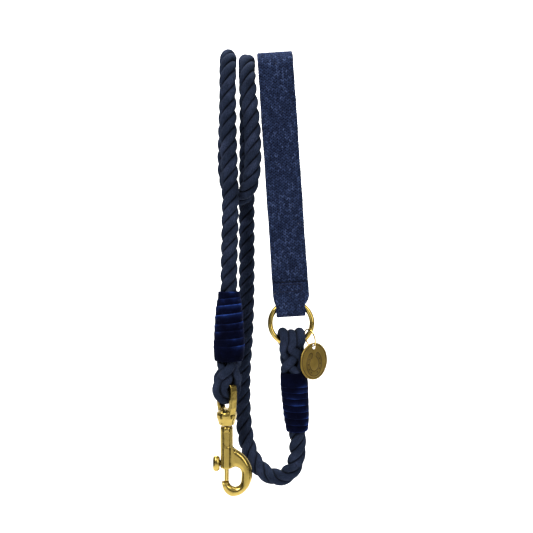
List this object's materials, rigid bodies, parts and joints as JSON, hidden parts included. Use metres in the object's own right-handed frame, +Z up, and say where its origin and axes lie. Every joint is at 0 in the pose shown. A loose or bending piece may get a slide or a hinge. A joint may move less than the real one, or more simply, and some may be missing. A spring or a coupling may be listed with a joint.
{
  "type": "rope lead",
  "caption": "Short cotton rope lead hanging gathered: bolt snap in a spliced eye, velvet-bound splices, O-ring with round tag, and a folded knit strap handle.",
  "frame": {"origin": "under the top bend of the handle loop, where the palm carries it; centre of the bend", "axes": "+Z up with the lead hanging, -Y towards the viewer's side with the snap in front, +X to the side of the handle strap"},
  "size_m": [0.0817, 0.0528, 0.3217],
  "materials": {
    "cotton_rope": "matte twisted cotton",
    "knit": "heathered wool knit",
    "webbing": "woven webbing",
    "thread": "sewing thread",
    "velvet": "velvet ribbon",
    "polished_brass": "polished",
    "cast_brass": "tumbled cast",
    "antique_brass": "satin, darkened",
    "spring_steel": "drawn wire"
  },
  "bodies": {
    "handle": {"handle_knit_cover": "knit", "handle_webbing_core": "webbing", "handle_stitching": "thread"},
    "ring": {"o_ring": "polished_brass"},
    "jump_ring": {"jump_ring": "polished_brass"},
    "tag": {"round_tag": "antique_brass"},
    "ring_leg": {"ring_leg_strand_1": "cotton_rope", "ring_leg_strand_2": "cotton_rope", "ring_leg_strand_3": "cotton_rope", "velvet_wrap_ring_end": "velvet"},
    "rope_coil": {"coil_strand_1": "cotton_rope", "coil_strand_2": "cotton_rope", "coil_strand_3": "cotton_rope"},
    "snap_leg": {"snap_leg_strand_1": "cotton_rope", "snap_leg_strand_2": "cotton_rope", "snap_leg_strand_3": "cotton_rope", "velvet_wrap_snap_end": "velvet"},
    "swivel": {"swivel_eye": "cast_brass"},
    "snap": {"snap_body": "cast_brass", "bolt_spring": "spring_steel"},
    "bolt": {"bolt_pin": "cast_brass", "thumb_knob": "cast_brass"}
  },
  "joints": [
    {"name": "ring_in_fold", "type": "hinge", "parent": "handle", "child": "ring", "pos_m": [0.01113, -0.015, -0.16853], "axis": [0.9978, 0, 0.0659], "range_deg": [-25, 25]},
    {"name": "rope_on_ring", "type": "hinge", "parent": "ring", "child": "ring_leg", "pos_m": [0.01162, -0.015, -0.19423], "axis": [1, 0, 0], "range_deg": [-2, 35]},
    {"name": "bottom_bend", "type": "hinge", "parent": "ring_leg", "child": "rope_coil", "pos_m": [0.00229, -0.0031, -0.29865], "axis": [0, -1, 0], "range_deg": [0, 45]},
    {"name": "top_bend", "type": "hinge", "parent": "rope_coil", "child": "snap_leg", "pos_m": [-0.03384, 0.001, 0.01965], "axis": [-1, 0, 0], "range_deg": [0, 45]},
    {"name": "eye_swing", "type": "hinge", "parent": "snap_leg", "child": "swivel", "pos_m": [-0.03418, -0.015, -0.225], "axis": [-0.6428, 0.766, 0], "range_deg": [-5, 75]},
    {"name": "snap_swivel", "type": "hinge", "parent": "swivel", "child": "snap", "pos_m": [-0.03418, -0.015, -0.254], "axis": [0, 0, 1], "continuous": true},
    {"name": "bolt_slide", "type": "slide", "parent": "snap", "child": "bolt", "axis": [0, 0, 1], "range_m": [0, 0.009], "stiffness_N_per_m": 300, "springref_m": -0.004, "deforming": ["bolt_spring"]},
    {"name": "jump_ring_swing", "type": "hinge", "parent": "ring", "child": "jump_ring", "pos_m": [0.02389, -0.015, -0.18771], "axis": [0.5592, 0, 0.829], "range_deg": [-4, 4]},
    {"name": "tag_swing", "type": "hinge", "parent": "jump_ring", "child": "tag", "pos_m": [0.02762, -0.01766, -0.19534], "axis": [0.6561, -0.7547, 0], "range_deg": [-14, 20]}
  ]
}
